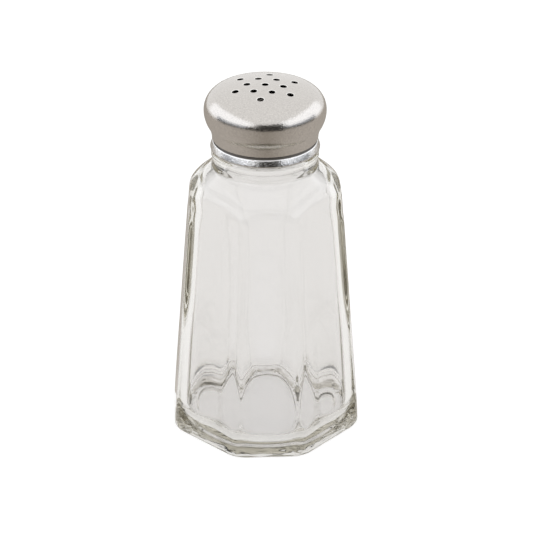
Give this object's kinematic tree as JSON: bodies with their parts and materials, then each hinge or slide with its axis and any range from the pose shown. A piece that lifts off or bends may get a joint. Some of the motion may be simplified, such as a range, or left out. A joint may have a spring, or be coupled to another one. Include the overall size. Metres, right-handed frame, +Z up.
{
  "type": "screw-top spice shaker",
  "caption": "Eight-sided glass table shaker with a screw-on domed stainless lid, pierced with round holes, and a bright ring under the lid's waist.",
  "frame": {"origin": "centre of the base, on the plane of the foot ring that the shaker stands on", "axes": "+Z runs up through the lid; two opposite broad panels face along X and two along Y"},
  "size_m": [0.0508, 0.0508, 0.0982],
  "materials": {
    "clear_glass": "clear pressed soda-lime glass",
    "bright_aluminium": "plain drawn sheet",
    "bright_ring": "bright, slightly speckled from rolling",
    "stainless": "satin dome and polished edge"
  },
  "bodies": {
    "jar": {"glass_jar": "clear_glass"},
    "ring": {"rim_ring": "bright_ring"},
    "lid": {"cap_shell": "stainless", "thread_insert": "bright_aluminium"}
  },
  "joints": [
    {"name": "lid_lift", "type": "slide", "parent": "jar", "child": "ring", "axis": [0, 0, 1], "range_m": [0, 0.011]},
    {"name": "lid_turn", "type": "hinge", "parent": "ring", "child": "lid", "pos_m": [0, 0, 0.0837], "axis": [0, 0, 1], "range_deg": [0, 990]}
  ],
  "couplings": [
    {"joint": "lid_lift", "follows": "lid_turn", "m_per_rad": 0.00063662}
  ]
}
